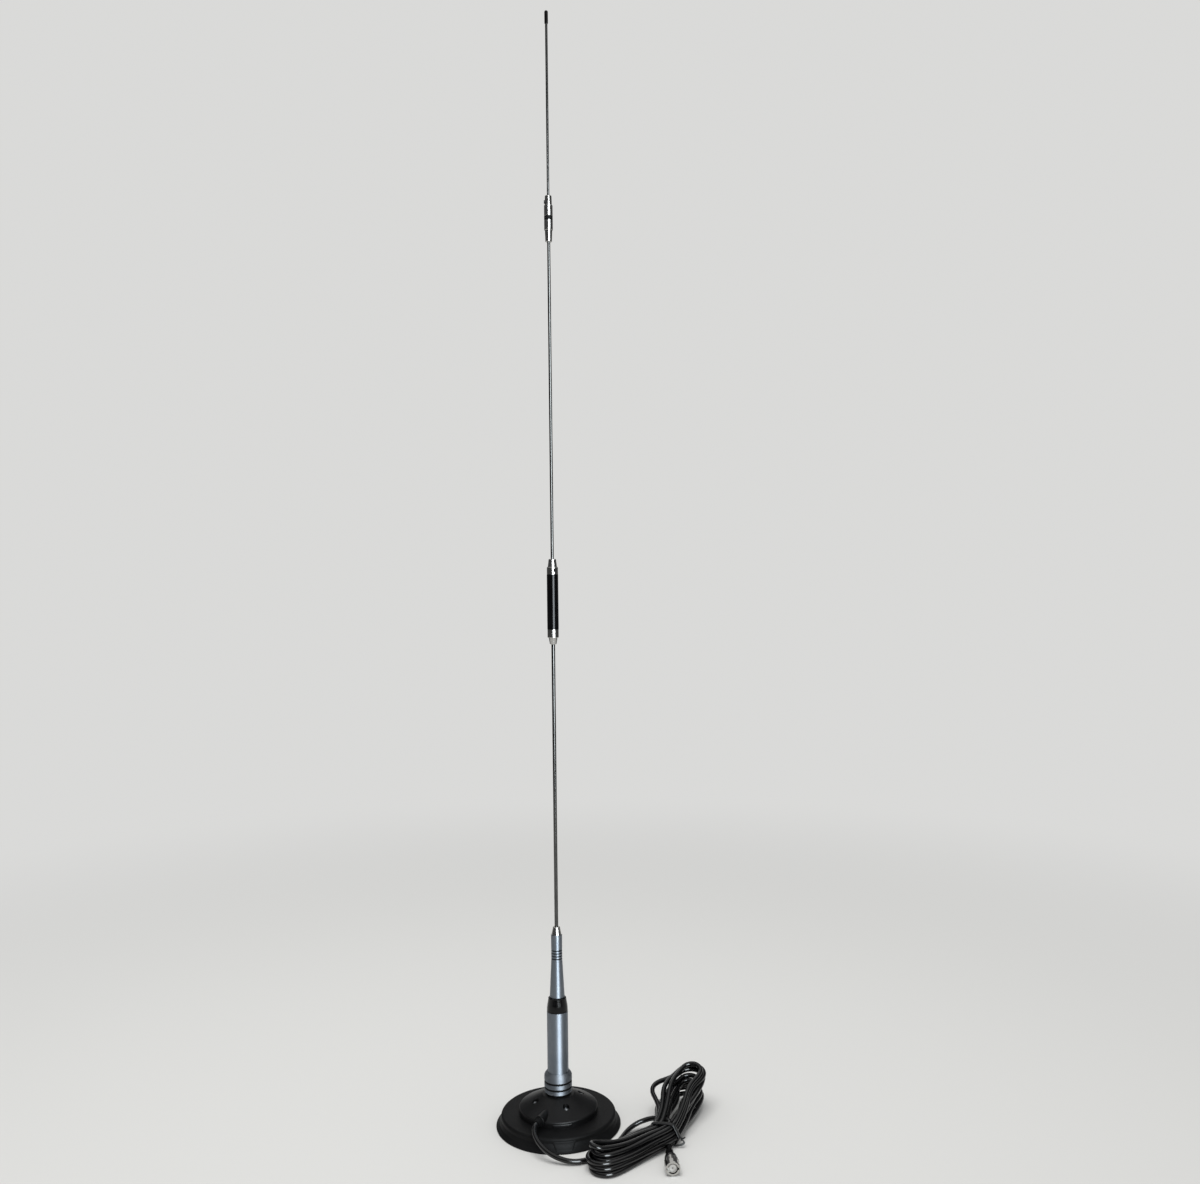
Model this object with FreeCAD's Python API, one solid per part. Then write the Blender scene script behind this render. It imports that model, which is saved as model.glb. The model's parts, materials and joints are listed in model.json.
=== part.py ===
import FreeCAD, Part
import math
import os

# Magnetic mount car antenna, standing on its base, in millimetres.
# +Z is up, the origin is the centre of the base on the surface it stands on.
# The cable leaves towards -Y, and the whip folds over towards +Y.

# Fits shared by all pieces
press_gap = 0.05
shaft_gap = 0.08
moving_gap = 0.25

# Rubber boot, steel cup and magnet
boot_radius = 65.0
boot_height = 13.5
boot_flare = 5.0
boot_lip = 1.5
boot_skirt = 8.5
boot_wall = 3.0
boot_floor = 1.2
boot_edge = 2.6
cup_plate = 2.5
cup_wall = 3.0
magnet_margin = 2.0
magnet_hole_radius = 21.0

# Cone cover and its screws
cover_radius = 41.0
cover_rim = 6.5
cover_height = 19.5
cover_top_radius = 15.5
cover_wall = 2.5
cover_edge = 1.2
boot_seat = 4.0
screw_circle = 25.0
screw_first_angle = 18.5
screw_count = 4
screw_radius = 2.0
screw_hole_gap = 0.2
screw_head_radius = 2.9
screw_head_height = 1.9
screw_recess_gap = 0.6
screw_recess_depth = 3.4
screw_post_wall = 2.8
cross_width = 0.9
cross_depth = 1.0

# Cable outlet in the cover
outlet_angle = 243.5
outlet_rise = 8.0
outlet_wall = 1.2
outlet_depth = 18.0
outlet_proud = 2.0
gland_wall = 1.5
gland_nose = 7.0
gland_nose_wall = 0.6
strip_margin = 1.0
wire_radius = 0.6
cable_radius = 2.5

# Screw socket on top of the cover
barrel_radius = 7.9
barrel_height = 12.5
barrel_wall = 1.9
barrel_bore_depth = 8.0
shank_shoulder = 1.9
shank_wall = 1.8
shank_wire_gap = 1.5
contact_wall = 0.7
contact_tail = 4.0
contact_bore_depth = 13.0
socket_disc = 2.5
gasket_inset = 1.5
gasket_height = 1.5
jam_nut_wall = 2.0
jam_nut_height = 3.0

# Coupling nut with its two grip rings
nut_wall = 3.5
nut_height = 21.0
nut_web = 3.0
nut_shoulder = 3.2
nut_edge = 0.7
grip_heights = (5.0, 11.3)
grip_width = 2.2
grip_depth = 1.2
grip_sink = 0.25

# Plug at the foot of the antenna
pin_radius = 2.0
pin_reach = 14.0
pin_rise = 3.0
plug_collar_wall = 0.7
plug_nose_wall = 1.4
plug_nose_length = 5.0
plug_flange_inset = 0.3
plug_flange_lip = 1.4
plug_flange = 1.5
plug_shoulder = 1.2
plug_spigot = 10.0

# Tube with the matching coil inside
tube_radius = 11.0
tube_wall = 2.0
tube_length = 66.4
former_radius = 5.0
former_gap = 3.6
former_margin = 2.5
coil_wire = 1.2

# Fold-over collar, stem and spring
collar_spigot = 6.0
collar_straight = 4.0
collar_height = 14.7
collar_top_radius = 9.2
collar_edge = 0.7
collar_cap = 3.5
bush_wall = 1.9
stem_radius = 3.2
tongue_thickness = 4.0
tongue_margin = 1.3
hinge_height = 10.0
hinge_radius = 1.3
spring_length = 22.0
spring_wire = 1.0
spring_turns = 6
spring_margin = 0.6
stem_nut_radius = 5.6
stem_nut_height = 3.0
stem_end = 1.0

# Neck and its ferrule
neck_foot_radius = 7.8
neck_cone = 37.5
neck_cone_radius = 5.9
neck_grip = 27.8
neck_grip_radius = 5.8
neck_edge = 0.5
groove_first = 2.2
groove_pitch = 2.9
groove_count = 4
groove_width = 1.3
groove_depth = 1.0
rod_seat = 15.0
ferrule_height = 8.0
ferrule_foot_radius = 5.3
ferrule_top_radius = 3.6
ferrule_spigot = 4.0
ferrule_wall = 1.6

# Whip rods, coil, joint and tip
lower_rod_radius = 1.95
lower_rod_span = 296.0
middle_rod_radius = 1.65
middle_rod_span = 332.5
top_rod_radius = 1.3
top_rod_span = 181.0
coil_cones = (7.0, 8.5)
coil_cone_tips = (3.4, 3.8)
coil_cone_roots = (4.6, 4.9)
coil_rings = (8.5, 7.5)
coil_ring_inset = 0.15
coil_sleeve_radius = 6.0
coil_sleeve_wall = 0.8
coil_sleeve_length = 58.0
coil_spigot_wall = 1.2
coil_spigot = 7.5
coil_web = 1.2
coil_margin = 1.0
joint_tapers = (12.0, 10.0)
joint_taper_tips = (3.4, 3.45)
joint_taper_roots = (3.85, 3.8)
joint_bodies = (11.0, 11.5)
joint_radius = 4.5
joint_edge = 0.4
joint_spacer_height = 4.0
joint_pin_radius = 2.6
joint_pin_length = 5.0
joint_web = 1.0
set_screw_radius = 1.8
set_screw_hex = 0.9
set_screw_hex_depth = 1.2
coil_screw_angle = -65.0
coil_screw_rise = 4.0
coil_screw_sink = 0.2
joint_screw_angle = 180.0
joint_screw_rise = 3.5
joint_screw_proud = 0.8
tip_wall = 0.6
tip_length = 13.5
tip_rod_depth = 9.0

# Bayonet plug lying at the end of the cable
bnc_place = (108.3, -112.0)
bnc_floor_gap = 0.05
bnc_ring_wall = 2.35
bnc_ring_length = 14.0
bnc_ring_bore = 4.9
bnc_ring_edge = 0.6
bnc_flute_count = 16
bnc_flute_radius = 0.7
bnc_flute_start = 6.5
bnc_slot_width = 2.2
bnc_slot_depth = 6.0
bnc_socket_wall = 0.85
bnc_sleeve_wall = 0.65
bnc_sleeve_depth = 9.0
bnc_front_recess = 0.8
bnc_body_lip = 0.7
bnc_body_length = 6.0
bnc_insulator_recess = 2.2
bnc_pin_radius = 0.7
bnc_pin_recess = 0.9
bnc_ferrule_wall = 1.1
bnc_ferrule_length = 11.0
bnc_cable_depth = 6.0

# Free cable: hand-picked points of its route and the outline of the tied hank
lead_start_depth = 4.0
lead_straight = 3.6
tail_straight = 5.0
lead_route = (
    (-24.8, -55.8, 20.0),
    (-22.8, -64.1, 17.2),
    (-17.6, -72.1, 13.1),
    (-9.4, -78.5, 8.6),
    (1.2, -82.9, 5.1),
    (13.3, -85.3, 3.2),
    (25.4, -82.7, 2.7),
    (36.5, -75.1, 2.8),
    (47.0, -65.0, 2.7),
    (56.7, -53.7, 2.8),
    (64.1, -40.4, 2.8),
    (71.0, -26.0, 3.8),
    (81.8, -19.3, 7.6),
    (94.6, -18.9, 11.4),
    (105.8, -24.9, 14.4),
    (110.9, -32.8, 15.8),
)
tail_route = (
    (111.1, -55.0, 6.5),
    (109.7, -65.1, 7.0),
)
waist = (108.1, -45.1)
waist_heading = 53.0
waist_length = 8.0
waist_width = 34.0
waist_bottom = 1.4
waist_height = 18.2
# Along each lobe: distance from the waist, left reach, right reach, bottom and top
lower_heading = 221.0
lower_lobe = (
    (30.0, 16.5, 16.5, 0.1, 19.5),
    (66.0, 17.0, 17.0, 0.1, 21.0),
    (86.0, 12.5, 12.5, 0.1, 22.0),
    (96.0, 6.0, 6.0, 3.0, 20.0),
)
upper_heading = 69.0
upper_lobe = (
    (28.0, 21.0, 18.0, 0.1, 26.0),
    (60.0, 24.0, 20.0, 0.1, 38.0),
    (86.0, 17.0, 17.0, 2.0, 46.0),
    (100.0, 8.0, 8.0, 9.0, 45.0),
)
hank_rounding = 0.35
tie_width = 4.5
tie_thickness = 1.0
tie_gap = 0.3
tie_end_length = 11.0
tie_end_width = 4.0
tie_end_thickness = 1.2

ORIGIN = FreeCAD.Vector(0, 0, 0)
UP = FreeCAD.Vector(0, 0, 1)
ROUND = "round"

# Radii that follow from a neighbour and a wall or gap
boot_top_radius = boot_radius - boot_flare
cup_radius = boot_top_radius - boot_wall - press_gap
cup_inner_radius = cup_radius - cup_wall
gland_radius = cable_radius + gland_wall
gland_nose_radius = cable_radius + gland_nose_wall
outlet_radius = gland_radius + outlet_wall
outlet_inner = cover_radius - outlet_depth
outlet_reach = cover_radius + outlet_proud
barrel_bore = barrel_radius - barrel_wall
shank_radius = barrel_radius - shank_shoulder
shank_bore = shank_radius - shank_wall
contact_radius = pin_radius + contact_wall
jam_nut_flats = 2 * (shank_radius + jam_nut_wall)
lead_strip = jam_nut_flats / math.sqrt(3) + strip_margin
nut_radius = tube_radius + nut_wall
gasket_radius = nut_radius - gasket_inset
plug_collar_radius = barrel_bore - moving_gap
plug_nose_radius = plug_collar_radius - plug_collar_wall - press_gap
plug_bore = plug_nose_radius - plug_nose_wall
plug_flange_radius = barrel_radius - plug_flange_inset
plug_neck_radius = plug_flange_radius - plug_flange_lip
tube_bore = tube_radius - tube_wall
coil_ring_radius = coil_sleeve_radius - coil_ring_inset
coil_core_radius = coil_sleeve_radius - coil_sleeve_wall - coil_spigot_wall
tip_radius = top_rod_radius + tip_wall
bnc_ring_radius = bnc_ring_bore + bnc_ring_wall
bnc_sleeve_radius = bnc_ring_bore - bnc_socket_wall
bnc_body_radius = bnc_ring_bore + bnc_body_lip
bnc_ferrule_radius = cable_radius + bnc_ferrule_wall

# Levels up the axis, each standing on the one below
cup_top = boot_height - boot_wall
plate_bottom = cup_top - cup_plate
rim_top = boot_height + cover_rim
outlet_height = boot_height + outlet_rise
cover_top = boot_height + cover_height
gasket_top = cover_top + gasket_height
nut_bottom = gasket_top + moving_gap
nut_top = nut_bottom + nut_height
barrel_top = cover_top + barrel_height
shank_bottom = outlet_height + shank_wire_gap
contact_bottom = outlet_height - contact_tail
flange_bottom = barrel_top + moving_gap
flange_top = flange_bottom + plug_flange
web_bottom = flange_top + moving_gap
web_top = web_bottom + nut_web
shoulder_bottom = web_top + moving_gap
tube_bottom = shoulder_bottom + plug_shoulder
tube_top = tube_bottom + tube_length
spigot_top = tube_bottom + plug_spigot
spring_top = tube_top - collar_spigot
spring_bottom = spring_top - spring_length
stem_bottom = spring_bottom - stem_nut_height - stem_end
former_top = stem_bottom - former_gap
collar_top = tube_top + collar_height
foot = collar_top + moving_gap
hinge_level = foot + hinge_height
cone_end = foot + neck_cone
neck_top = cone_end + neck_grip
ferrule_top = neck_top + ferrule_height
coil_bottom = ferrule_top + lower_rod_span
lower_ring_bottom = coil_bottom + coil_cones[0]
sleeve_bottom = lower_ring_bottom + coil_rings[0]
sleeve_top = sleeve_bottom + coil_sleeve_length
upper_ring_top = sleeve_top + coil_rings[1]
coil_top = upper_ring_top + coil_cones[1]
joint_bottom = coil_top + middle_rod_span
joint_body_bottom = joint_bottom + joint_tapers[0]
spacer_bottom = joint_body_bottom + joint_bodies[0]
spacer_top = spacer_bottom + joint_spacer_height
joint_body_top = spacer_top + joint_bodies[1]
joint_top = joint_body_top + joint_tapers[1]
tip_bottom = joint_top + top_rod_span
tip_top = tip_bottom + tip_length
screw_angles = [screw_first_angle + 360 / screw_count * index for index in range(screw_count)]
bnc_height = bnc_ring_radius + bnc_floor_gap


def rounded_corner(before, corner, after, cut):
    """Give the first, middle and last points and the radius of the arc that rounds a corner."""
    back = (before - corner).normalize()
    ahead = (after - corner).normalize()
    half_turn = (math.pi - back.getAngle(ahead)) / 2
    radius = cut / math.tan(half_turn)
    inward = (back + ahead).normalize()
    middle = corner + inward * (radius / math.cos(half_turn) - radius)
    return corner + back * cut, middle, corner + ahead * cut, radius


def closed_wire(corners, cuts, rounded):
    """Join corners into a closed wire, each cut from a distance, by an arc if rounded, or sharp for 0."""
    edges = []
    ends = []
    for index, corner in enumerate(corners):
        if not cuts[index]:
            ends.append((corner, corner))
            continue
        after = corners[(index + 1) % len(corners)]
        first, middle, last, _ = rounded_corner(corners[index - 1], corner, after, cuts[index])
        if rounded[index]:
            edges.append(Part.Arc(first, middle, last).toShape())
        else:
            edges.append(Part.LineSegment(first, last).toShape())
        ends.append((first, last))
    for index, (first, _) in enumerate(ends):
        edges.append(Part.LineSegment(ends[index - 1][1], first).toShape())
    return Part.Wire(Part.sortEdges(edges)[0])


def turned(outline):
    """Turn a closed outline about Z: (radius, height) corners, then a cut's distance, then ROUND."""
    corners = [FreeCAD.Vector(point[0], 0, point[1]) for point in outline]
    cuts = [point[2] if len(point) > 2 else 0 for point in outline]
    rounded = [point[-1] == ROUND for point in outline]
    return Part.Face(closed_wire(corners, cuts, rounded)).revolve(ORIGIN, UP, 360)


def disc(radius, bottom, top):
    return Part.makeCylinder(radius, top - bottom, UP * bottom)


def ring(inner, outer, bottom, top):
    return turned([(inner, bottom), (outer, bottom), (outer, top), (inner, top)])


def outward(angle):
    """The level direction at an angle about the axis."""
    return FreeCAD.Vector(math.cos(math.radians(angle)), math.sin(math.radians(angle)), 0)


def spoke(radius, start, end, angle, height):
    """A level cylinder that points away from the axis."""
    direction = outward(angle)
    return Part.makeCylinder(radius, end - start, direction * start + UP * height, direction)


def hexagon(flats, bottom, top):
    """An upright hexagonal prism about the axis."""
    corner_radius = flats / math.sqrt(3)
    corners = [outward(60 * index) * corner_radius + UP * bottom for index in range(6)]
    return Part.Face(Part.makePolygon(corners + corners[:1])).extrude(UP * (top - bottom))


def placed(shape, origin, direction):
    """Stand a shape that was made along Z at a point, with its Z along a direction."""
    shape.Placement = FreeCAD.Placement(origin, FreeCAD.Rotation(UP, direction))
    return shape


def rubber_boot():
    flare_start = boot_lip
    return turned([
        (0, 0),
        (boot_radius, 0, boot_lip / 3),
        (boot_radius, flare_start),
        (boot_top_radius + boot_flare / 3, flare_start + (boot_skirt - flare_start) / 2),
        (boot_top_radius, boot_skirt),
        (boot_top_radius, boot_height, boot_edge, ROUND),
        (cover_radius - boot_seat, boot_height),
        (cover_radius - boot_seat, cup_top),
        (cup_radius + press_gap, cup_top),
        (cup_radius + press_gap, boot_floor),
        (0, boot_floor),
    ])


def steel_cup():
    cup = turned([
        (0, plate_bottom),
        (cup_inner_radius, plate_bottom),
        (cup_inner_radius, boot_floor),
        (cup_radius, boot_floor),
        (cup_radius, cup_top),
        (0, cup_top),
    ])
    for angle in screw_angles:
        hole = disc(screw_radius + press_gap, plate_bottom, cup_top)
        cup = cup.cut(hole.translated(outward(angle) * screw_circle))
    return cup


def ring_magnet():
    return ring(magnet_hole_radius, cup_inner_radius - magnet_margin, boot_floor + moving_gap, plate_bottom)


cover_slope = (cover_top - rim_top) / (cover_radius - cover_top_radius)
cover_drop = cover_wall * math.sqrt(1 + cover_slope ** 2)
recess_floor = rim_top + (cover_radius - screw_circle) * cover_slope - screw_recess_depth


def cover_surface(radius):
    """Height of the cone's outer face at a radius."""
    return rim_top + (cover_radius - radius) * cover_slope


def cone_cover():
    inner_radius = cover_radius - cover_wall
    roof_radius = cover_top_radius + (cover_wall - cover_drop) / cover_slope
    hole_radius = shank_radius + press_gap
    cover = turned([
        (hole_radius, cover_top),
        (cover_top_radius, cover_top, cover_edge),
        (cover_radius, rim_top, cover_edge, ROUND),
        (cover_radius, boot_height),
        (inner_radius, boot_height),
        (inner_radius, cover_surface(inner_radius) - cover_drop),
        (roof_radius, cover_top - cover_wall),
        (hole_radius, cover_top - cover_wall),
    ])
    under_cone = turned([
        (0, cup_top),
        (cover_radius, cup_top),
        (cover_radius, rim_top),
        (cover_top_radius, cover_top),
        (0, cover_top),
    ])
    post_radius = screw_head_radius + screw_recess_gap + screw_post_wall / 2
    for angle in screw_angles:
        post = disc(post_radius, cup_top, cover_top).translated(outward(angle) * screw_circle)
        cover = cover.fuse(post.common(under_cone))
    cover = cover.fuse(spoke(outlet_radius, outlet_inner, outlet_reach, outlet_angle, outlet_height))
    for angle in screw_angles:
        recess = disc(screw_head_radius + screw_recess_gap, recess_floor, cover_top)
        hole = disc(screw_radius + screw_hole_gap, cup_top, recess_floor)
        cover = cover.cut(recess.fuse(hole).translated(outward(angle) * screw_circle))
    bore = spoke(gland_radius + press_gap, outlet_inner, outlet_reach, outlet_angle, outlet_height)
    return cover.cut(bore).removeSplitter()


def cover_screws():
    head_top = recess_floor + screw_head_height
    screw = turned([
        (0, plate_bottom),
        (screw_radius, plate_bottom),
        (screw_radius, recess_floor),
        (screw_head_radius, recess_floor),
        (screw_head_radius, head_top, screw_head_height / 2),
        (0, head_top),
    ])
    arm = Part.makeBox(2 * screw_radius, cross_width, cross_depth)
    arm.translate(FreeCAD.Vector(-screw_radius, -cross_width / 2, head_top - cross_depth))
    screw = screw.cut(arm).cut(arm.rotated(ORIGIN, UP, 90))
    return Part.makeCompound([screw.translated(outward(angle) * screw_circle) for angle in screw_angles])


def cable_gland():
    bore = cable_radius + press_gap
    mouth = outlet_reach + gland_nose
    bush = turned([
        (bore, outlet_inner),
        (gland_radius, outlet_inner),
        (gland_radius, outlet_reach),
        (outlet_radius, outlet_reach),
        (outlet_radius, outlet_reach + outlet_radius - gland_radius, (outlet_radius - gland_radius) / 2),
        (gland_radius, outlet_reach + outlet_radius - gland_radius),
        (gland_nose_radius, mouth),
        (bore, mouth),
    ])
    return placed(bush, UP * outlet_height, outward(outlet_angle))


lead_start = outlet_reach + gland_nose - lead_start_depth


def inner_lead():
    jacket = spoke(cable_radius, lead_strip, lead_start, outlet_angle, outlet_height)
    wire = spoke(wire_radius, 0, lead_strip, outlet_angle, outlet_height)
    return jacket.fuse(wire)


def socket_body():
    return turned([
        (shank_bore, shank_bottom),
        (shank_radius, shank_bottom),
        (shank_radius, cover_top),
        (barrel_radius, cover_top),
        (barrel_radius, barrel_top, (barrel_radius - barrel_bore) / 4),
        (barrel_bore, barrel_top),
        (barrel_bore, barrel_top - barrel_bore_depth),
        (shank_bore, barrel_top - barrel_bore_depth),
    ])


def socket_insulator():
    floor = barrel_top - barrel_bore_depth
    bore = contact_radius + press_gap
    return turned([
        (bore, shank_bottom),
        (shank_bore - press_gap, shank_bottom),
        (shank_bore - press_gap, floor),
        (barrel_bore - press_gap, floor),
        (barrel_bore - press_gap, floor + socket_disc),
        (bore, floor + socket_disc),
    ])


def socket_contact():
    top = barrel_top - barrel_bore_depth + socket_disc
    contact = disc(contact_radius, contact_bottom, top)
    contact = contact.cut(disc(pin_radius + shaft_gap, top - contact_bore_depth, top))
    wire_hole = spoke(wire_radius + press_gap, 0, contact_radius, outlet_angle, outlet_height)
    return contact.cut(wire_hole)


def socket_gasket():
    edge = gasket_height / 4
    return turned([
        (barrel_radius + press_gap, cover_top),
        (gasket_radius, cover_top, edge),
        (gasket_radius, gasket_top, edge),
        (barrel_radius + press_gap, gasket_top),
    ])


def jam_nut():
    top = cover_top - cover_wall
    nut = hexagon(jam_nut_flats, top - jam_nut_height, top)
    return nut.cut(disc(shank_radius + press_gap, top - jam_nut_height, top))


def coupling_nut():
    outline = [
        (barrel_radius + moving_gap, nut_bottom),
        (nut_radius, nut_bottom, nut_edge),
    ]
    groove_radius = nut_radius - grip_depth
    for height in grip_heights:
        low = nut_bottom + height - grip_width / 2
        high = low + grip_width
        outline += [
            (nut_radius, low, grip_sink),
            (groove_radius, low),
            (groove_radius, high),
            (nut_radius, high, grip_sink),
        ]
    outline += [
        (nut_radius, nut_top - nut_shoulder, nut_edge),
        (tube_radius + nut_edge + moving_gap, nut_top, nut_edge / 2),
        (tube_radius + moving_gap, nut_top),
        (tube_radius + moving_gap, web_top),
        (plug_neck_radius + shaft_gap, web_top),
        (plug_neck_radius + shaft_gap, web_bottom),
        (barrel_radius + moving_gap, web_bottom),
    ]
    return turned(outline)


def grip_rings():
    rings = []
    inner = nut_radius - grip_depth + press_gap
    outer = nut_radius - grip_sink
    half = grip_width / 2 - press_gap
    for height in grip_heights:
        middle = nut_bottom + height
        rings.append(turned([
            (inner, middle - half),
            (outer, middle - half, half / 2),
            (outer, middle + half, half / 2),
            (inner, middle + half),
        ]))
    return Part.makeCompound(rings)


plug_nose_bottom = flange_bottom - plug_nose_length
plug_pin_bottom = flange_bottom - pin_reach


def plug_body():
    return turned([
        (plug_bore, plug_nose_bottom),
        (plug_nose_radius, plug_nose_bottom),
        (plug_nose_radius, flange_top),
        (plug_neck_radius, flange_top),
        (plug_neck_radius, shoulder_bottom),
        (tube_radius, shoulder_bottom),
        (tube_radius, tube_bottom),
        (tube_bore - press_gap, tube_bottom),
        (tube_bore - press_gap, spigot_top),
        (plug_bore, spigot_top),
    ])


def plug_collar():
    bore = plug_nose_radius + press_gap
    return turned([
        (bore, plug_nose_bottom),
        (plug_collar_radius, plug_nose_bottom),
        (plug_collar_radius, flange_bottom),
        (plug_flange_radius, flange_bottom),
        (plug_flange_radius, flange_top),
        (bore, flange_top),
    ])


def plug_insulator():
    return ring(pin_radius + press_gap, plug_bore - press_gap, plug_nose_bottom, spigot_top)


def plug_pin():
    return turned([
        (0, plug_pin_bottom),
        (pin_radius, plug_pin_bottom, pin_radius * 0.6),
        (pin_radius, spigot_top + pin_rise),
        (0, spigot_top + pin_rise),
    ])


def base_tube():
    return ring(tube_bore, tube_radius, tube_bottom, tube_top)


def coil_former():
    former = disc(former_radius, spigot_top, former_top)
    return former.cut(disc(pin_radius + press_gap, spigot_top, spigot_top + pin_rise))


def matching_coil():
    inner = former_radius + press_gap
    return ring(inner, inner + coil_wire, spigot_top + former_margin, former_top - former_margin)


bush_radius = stem_radius + shaft_gap + bush_wall
bush_top = collar_top - collar_cap


def fold_collar():
    return turned([
        (bush_radius + press_gap, spring_top),
        (tube_bore - press_gap, spring_top),
        (tube_bore - press_gap, tube_top),
        (tube_radius, tube_top, collar_edge),
        (tube_radius, tube_top + collar_straight, collar_straight * 0.8, ROUND),
        (collar_top_radius, collar_top, collar_edge),
        (stem_radius + moving_gap, collar_top),
        (stem_radius + moving_gap, bush_top),
        (bush_radius + press_gap, bush_top),
    ])


def guide_bush():
    return ring(stem_radius + shaft_gap, bush_radius, spring_top, bush_top)


def fold_tongue():
    tongue_flat = math.hypot(hinge_height, neck_foot_radius) + tongue_margin
    stem = disc(stem_radius, stem_bottom, hinge_level)
    stem = stem.fuse(Part.makeSphere(stem_radius, UP * hinge_level))
    for side in (0, 180):
        flat = Part.makeBox(stem_radius, 2 * stem_radius, tongue_flat + stem_radius)
        flat.translate(FreeCAD.Vector(tongue_thickness / 2, -stem_radius, hinge_level - tongue_flat))
        stem = stem.cut(flat.rotated(ORIGIN, UP, side))
    return stem.cut(across(hinge_radius + shaft_gap, stem_radius)).removeSplitter()


def across(radius, half_length):
    """A level cylinder along X through the hinge."""
    start = FreeCAD.Vector(-half_length, 0, hinge_level)
    return Part.makeCylinder(radius, 2 * half_length, start, FreeCAD.Vector(1, 0, 0))


def stem_nut():
    nut = hexagon(stem_nut_radius * math.sqrt(3), spring_bottom - stem_nut_height, spring_bottom)
    return nut.cut(disc(stem_radius + press_gap, spring_bottom - stem_nut_height, spring_bottom))


def fold_spring():
    inner = stem_radius + spring_margin
    pitch = (spring_length - spring_wire - 2 * press_gap) / spring_turns
    helix = Part.makeHelix(pitch, pitch * spring_turns, inner)
    corners = [
        FreeCAD.Vector(inner, 0, 0),
        FreeCAD.Vector(inner + spring_wire, 0, 0),
        FreeCAD.Vector(inner + spring_wire, 0, spring_wire),
        FreeCAD.Vector(inner, 0, spring_wire),
    ]
    section = Part.makePolygon(corners + corners[:1])
    coil = Part.Wire(helix.Edges).makePipeShell([section], True, True)
    return coil.translated(UP * (spring_bottom + press_gap))


def neck_radius_at(height):
    """Radius of the neck's cone at a height."""
    share = (height - foot) / neck_cone
    return neck_foot_radius + (neck_cone_radius - neck_foot_radius) * share


def neck_sleeve():
    outline = [
        (0, foot),
        (neck_foot_radius, foot, neck_edge),
        (neck_cone_radius, cone_end),
        (neck_grip_radius, cone_end),
    ]
    for index in range(groove_count):
        low = cone_end + groove_first + groove_pitch * index
        outline += [
            (neck_grip_radius, low),
            (neck_grip_radius - groove_depth, low),
            (neck_grip_radius - groove_depth, low + groove_width),
            (neck_grip_radius, low + groove_width),
        ]
    rod_hole = lower_rod_radius + press_gap
    outline += [
        (neck_grip_radius, neck_top, neck_edge),
        (rod_hole + ferrule_wall, neck_top),
        (rod_hole + ferrule_wall, neck_top - ferrule_spigot),
        (rod_hole, neck_top - ferrule_spigot),
        (rod_hole, neck_top - rod_seat),
        (0, neck_top - rod_seat),
    ]
    neck = turned(outline)
    slot_width = tongue_thickness + 2 * moving_gap
    slot_front = stem_radius + moving_gap
    slot = Part.makeBox(slot_width, slot_front + neck_foot_radius, hinge_height + slot_front)
    slot.translate(FreeCAD.Vector(-slot_width / 2, -slot_front, foot))
    return neck.cut(slot).cut(across(hinge_radius + press_gap, neck_foot_radius))


def hinge_pin():
    return across(hinge_radius, neck_radius_at(hinge_level + hinge_radius) - neck_edge)


def neck_ferrule():
    bore = lower_rod_radius + press_gap
    return turned([
        (bore, neck_top - ferrule_spigot),
        (bore + ferrule_wall - press_gap, neck_top - ferrule_spigot),
        (bore + ferrule_wall - press_gap, neck_top),
        (ferrule_foot_radius, neck_top),
        (ferrule_top_radius, ferrule_top, neck_edge),
        (bore, ferrule_top),
    ])


def lower_rod():
    return disc(lower_rod_radius, neck_top - rod_seat, sleeve_bottom - coil_web)


def middle_rod():
    return disc(middle_rod_radius, sleeve_top + coil_web, spacer_bottom - joint_pin_length - joint_web)


def top_rod():
    return disc(top_rod_radius, spacer_top + joint_pin_length + joint_web, tip_bottom + tip_rod_depth)


def coil_ferrule(rod_radius, ring_length, cone_length, cone_root, cone_tip):
    """A coil end made upwards from the sleeve's end at height 0: spigot, ring and cone."""
    core_hole = coil_core_radius + press_gap
    rod_hole = rod_radius + press_gap
    ferrule = turned([
        (core_hole, -coil_spigot),
        (coil_sleeve_radius - coil_sleeve_wall - press_gap, -coil_spigot),
        (coil_sleeve_radius - coil_sleeve_wall - press_gap, 0),
        (coil_ring_radius, 0),
        (coil_ring_radius, ring_length, joint_edge),
        (cone_root, ring_length),
        (cone_tip, ring_length + cone_length, joint_edge),
        (rod_hole, ring_length + cone_length),
        (rod_hole, coil_web),
        (0, coil_web),
        (0, 0),
        (core_hole, 0),
    ])
    return ferrule


def coil_lower_ferrule():
    ferrule = coil_ferrule(
        lower_rod_radius, coil_rings[0], coil_cones[0], coil_cone_roots[0], coil_cone_tips[0])
    return placed(ferrule, UP * sleeve_bottom, -UP)


def coil_upper_ferrule():
    ferrule = coil_ferrule(
        middle_rod_radius, coil_rings[1], coil_cones[1], coil_cone_roots[1], coil_cone_tips[1])
    ferrule.translate(UP * sleeve_top)
    hole = spoke(
        set_screw_radius + press_gap, middle_rod_radius, coil_ring_radius,
        coil_screw_angle, sleeve_top + coil_screw_rise)
    return ferrule.cut(hole)


def coil_core():
    return disc(coil_core_radius, sleeve_bottom, sleeve_top)


def coil_winding():
    inner = coil_core_radius + press_gap
    outer = coil_sleeve_radius - coil_sleeve_wall - press_gap
    margin = coil_spigot + coil_margin
    return ring(inner, outer, sleeve_bottom + margin, sleeve_top - margin)


def coil_sleeve():
    edge = coil_sleeve_wall / 3
    inner = coil_sleeve_radius - coil_sleeve_wall
    return turned([
        (inner, sleeve_bottom),
        (coil_sleeve_radius, sleeve_bottom, edge),
        (coil_sleeve_radius, sleeve_top, edge),
        (inner, sleeve_top),
    ])


def set_screw(start, end, angle, height):
    """A headless screw with a socket in its outer end."""
    screw = spoke(set_screw_radius, start, end, angle, height)
    return screw.cut(spoke(set_screw_hex, end - set_screw_hex_depth, end, angle, height))


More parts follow.
